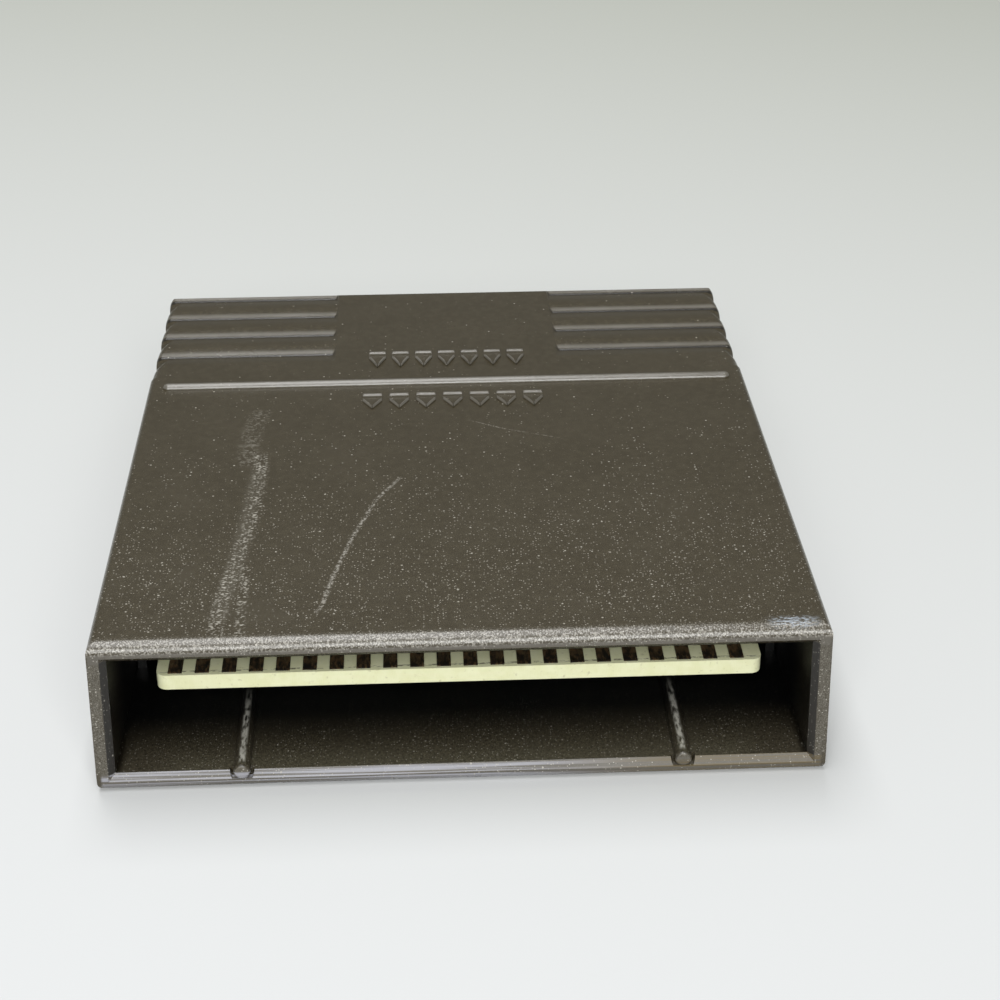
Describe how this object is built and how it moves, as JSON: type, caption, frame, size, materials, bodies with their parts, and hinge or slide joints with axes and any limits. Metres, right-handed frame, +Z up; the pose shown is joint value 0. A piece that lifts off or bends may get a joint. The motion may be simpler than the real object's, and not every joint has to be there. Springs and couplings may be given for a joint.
{
  "type": "game cartridge",
  "caption": "Two-shell plastic game cartridge with an open card-edge mouth, wrap-around finger grips, a raised bar across its roof and a circuit board inside",
  "frame": {"origin": "Under the middle of the case, on the plane of the label-side face that it rests on.", "axes": "X across the case, parallel to the row of contacts. Y along the case, from the connector mouth at -Y to the grips at +Y. Z up, from the label side to the roof."},
  "size_m": [0.068, 0.0792, 0.0165],
  "materials": {
    "case": "fine moulded grain, slightly worn",
    "case_label_side": "fine moulded grain",
    "board": "glass-epoxy laminate",
    "contact": "tarnished plating",
    "chip": "moulded",
    "lead": "dull tinned",
    "solder": "satin",
    "capacitor": "glazed",
    "resistor": "satin lacquer",
    "screw": "zinc-plated"
  },
  "bodies": {
    "root": {"top_shell": "case", "bottom_shell": "case_label_side", "circuit_board": "board", "contacts_top": "contact", "contacts_bottom": "contact", "rom_body_left": "chip", "rom_body_right": "chip", "rom_leads_left": "lead", "rom_leads_right": "lead", "logic_body": "chip", "logic_leads": "lead", "solder_joints": "solder", "capacitor_left": "capacitor", "capacitor_right": "capacitor", "capacitor_leads": "lead", "resistor_body": "resistor", "resistor_leads": "lead", "case_screw": "screw"}
  },
  "joints": []
}
